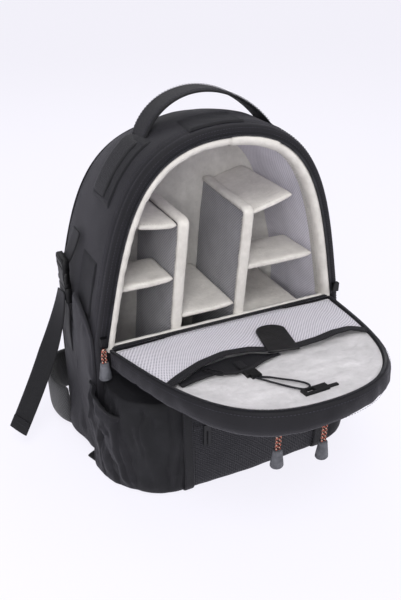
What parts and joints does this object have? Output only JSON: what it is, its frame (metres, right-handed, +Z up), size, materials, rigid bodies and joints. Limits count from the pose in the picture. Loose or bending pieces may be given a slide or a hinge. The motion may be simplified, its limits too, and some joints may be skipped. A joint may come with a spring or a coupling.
{
  "type": "camera backpack",
  "caption": "Camera backpack with a D-shaped front flap folded open, padded dividers and shelves inside, mesh pocket, zip pulls, side buckles and a carry handle.",
  "frame": {"origin": "on the ground under the bag, midway across its width, 65 mm behind the plane of the flap opening", "axes": "+X across the bag to the right seen from the front, the front faces -Y, +Z up from the ground"},
  "size_m": [0.4866, 0.4107, 0.4021],
  "materials": {
    "black_nylon": "matt",
    "black_webbing": "matt",
    "padded_mesh": "matt",
    "grey_lining": "matt",
    "pale_lining": "soft satin",
    "grey_mesh": "matt",
    "black_leather": "satin",
    "zip_coil": "satin",
    "zip_slider": "satin",
    "black_plastic": "satin",
    "patterned_cord": "matt",
    "black_cord": "matt",
    "grey_rubber": "matt"
  },
  "bodies": {
    "bag": {"gusset": "black_nylon", "base_panel": "black_webbing", "back_panel": "black_nylon", "front_border": "black_nylon", "front_wall": "black_nylon", "liner_wall": "grey_lining", "liner_back": "grey_lining", "body_zip": "zip_coil", "hinge_binding": "black_webbing", "main_sliders": "zip_slider", "divider_left": "pale_lining", "divider_right": "pale_lining", "sewn_patches": "black_webbing", "side_wings": "black_nylon", "buckle_sockets": "black_plastic", "strap_links": "black_webbing", "side_pocket_left": "black_nylon", "side_pocket_right": "black_nylon", "front_pocket": "black_nylon", "front_straps": "black_webbing", "base_tails": "black_webbing", "back_pads": "padded_mesh", "shoulder_straps": "padded_mesh", "lower_webs": "black_webbing", "ladder_locks": "black_plastic"},
    "flap": {"flap_shell": "black_nylon", "flap_lining": "pale_lining", "flap_zip": "zip_coil", "mesh_pocket": "grey_mesh", "pocket_binding": "black_webbing", "pocket_tab": "black_leather", "leash_strap": "black_webbing", "leash_buckle": "black_plastic", "leash_cord": "black_cord", "leash_clasp": "black_plastic", "flap_pocket": "black_nylon", "flap_pocket_zip": "zip_coil"},
    "slider_left": {"flap_slider_left": "zip_slider"},
    "slider_right": {"flap_slider_right": "zip_slider"},
    "flap_pull_left": {"flap_pull_cord_left": "patterned_cord", "flap_pull_end_left": "grey_rubber"},
    "flap_pull_right": {"flap_pull_cord_right": "patterned_cord", "flap_pull_end_right": "grey_rubber"},
    "main_pull": {"main_pull_cord": "patterned_cord", "main_pull_end": "grey_rubber"},
    "front_zip_slider": {"front_slider": "zip_slider"},
    "plug_left": {"buckle_plug_left": "black_plastic", "strap_tail_left": "black_webbing"},
    "plug_right": {"buckle_plug_right": "black_plastic", "strap_tail_right": "black_webbing"},
    "handle": {"carry_handle": "black_webbing"},
    "belt_left": {"hip_belt_left": "padded_mesh"},
    "belt_right": {"hip_belt_right": "padded_mesh"},
    "sternum": {"sternum_strap": "black_plastic"},
    "shelf_left_top": {"shelf_left_top": "pale_lining"},
    "shelf_right_top": {"shelf_right_top": "pale_lining"},
    "shelf_left_low": {"shelf_left_low": "pale_lining"},
    "shelf_centre": {"shelf_centre": "pale_lining"},
    "shelf_right_mid": {"shelf_right_mid": "pale_lining"},
    "shelf_right_low": {"shelf_right_low": "pale_lining"}
  },
  "joints": [
    {"name": "flap_hinge", "type": "hinge", "parent": "bag", "child": "flap", "pos_m": [0, -0.066, 0.158], "axis": [-1, 0, 0], "range_deg": [0, 81.3]},
    {"name": "flap_zip_left", "type": "slide", "parent": "flap", "child": "slider_left", "axis": [1, 0, 0], "range_m": [-0.03, 0.014]},
    {"name": "flap_zip_right", "type": "slide", "parent": "flap", "child": "slider_right", "axis": [1, 0, 0], "range_m": [-0.014, 0.04]},
    {"name": "pull_left_swing", "type": "hinge", "parent": "slider_left", "child": "flap_pull_left", "pos_m": [-0.032, -0.23555, 0.14742], "axis": [1, 0, 0], "range_deg": [-50, 50]},
    {"name": "pull_right_swing", "type": "hinge", "parent": "slider_right", "child": "flap_pull_right", "pos_m": [0.02, -0.23555, 0.14742], "axis": [1, 0, 0], "range_deg": [-50, 50]},
    {"name": "main_pull_swing", "type": "hinge", "parent": "bag", "child": "main_pull", "pos_m": [-0.147, -0.075, 0.164], "axis": [0, 1, 0], "range_deg": [0, 60]},
    {"name": "front_zip", "type": "slide", "parent": "bag", "child": "front_zip_slider", "axis": [1, 0, 0], "range_m": [0, 0.12]},
    {"name": "plug_left_release", "type": "slide", "parent": "bag", "child": "plug_left", "axis": [0, 0, -1], "range_m": [0, 0.018], "deforming": ["strap_links"]},
    {"name": "plug_right_release", "type": "slide", "parent": "bag", "child": "plug_right", "axis": [0, 0, -1], "range_m": [0, 0.018], "deforming": ["strap_links"]},
    {"name": "handle_fold", "type": "hinge", "parent": "bag", "child": "handle", "pos_m": [0, 0.002, 0.35], "axis": [1, 0, 0], "range_deg": [-20, 20]},
    {"name": "belt_left_swing", "type": "hinge", "parent": "bag", "child": "belt_left", "pos_m": [-0.122, 0.095, 0.035], "axis": [0, 0, -1], "range_deg": [0, 60]},
    {"name": "belt_right_swing", "type": "hinge", "parent": "bag", "child": "belt_right", "pos_m": [0.122, 0.095, 0.035], "axis": [0, 0, 1], "range_deg": [0, 60]},
    {"name": "sternum_height", "type": "slide", "parent": "bag", "child": "sternum", "axis": [0, 0, 1], "range_m": [-0.02, 0.02]},
    {"name": "shelf_left_top_fold", "type": "hinge", "parent": "bag", "child": "shelf_left_top", "pos_m": [-0.0541, 0, 0.271], "axis": [0, -1, 0], "range_deg": [0, 60]},
    {"name": "shelf_right_top_fold", "type": "hinge", "parent": "bag", "child": "shelf_right_top", "pos_m": [0.0367, 0, 0.271], "axis": [0, 1, 0], "range_deg": [0, 60]},
    {"name": "shelf_left_low_move", "type": "slide", "parent": "bag", "child": "shelf_left_low", "axis": [-0.0797, 0, -0.9968], "range_m": [0, 0.03]},
    {"name": "shelf_centre_move", "type": "slide", "parent": "bag", "child": "shelf_centre", "axis": [-0.0698, 0, -0.9976], "range_m": [0, 0.03]},
    {"name": "shelf_right_mid_move", "type": "slide", "parent": "bag", "child": "shelf_right_mid", "axis": [-0.0599, 0, -0.9982], "range_m": [0, 0.03]},
    {"name": "shelf_right_low_move", "type": "slide", "parent": "bag", "child": "shelf_right_low", "axis": [-0.0599, 0, -0.9982], "range_m": [0, 0.03]}
  ]
}
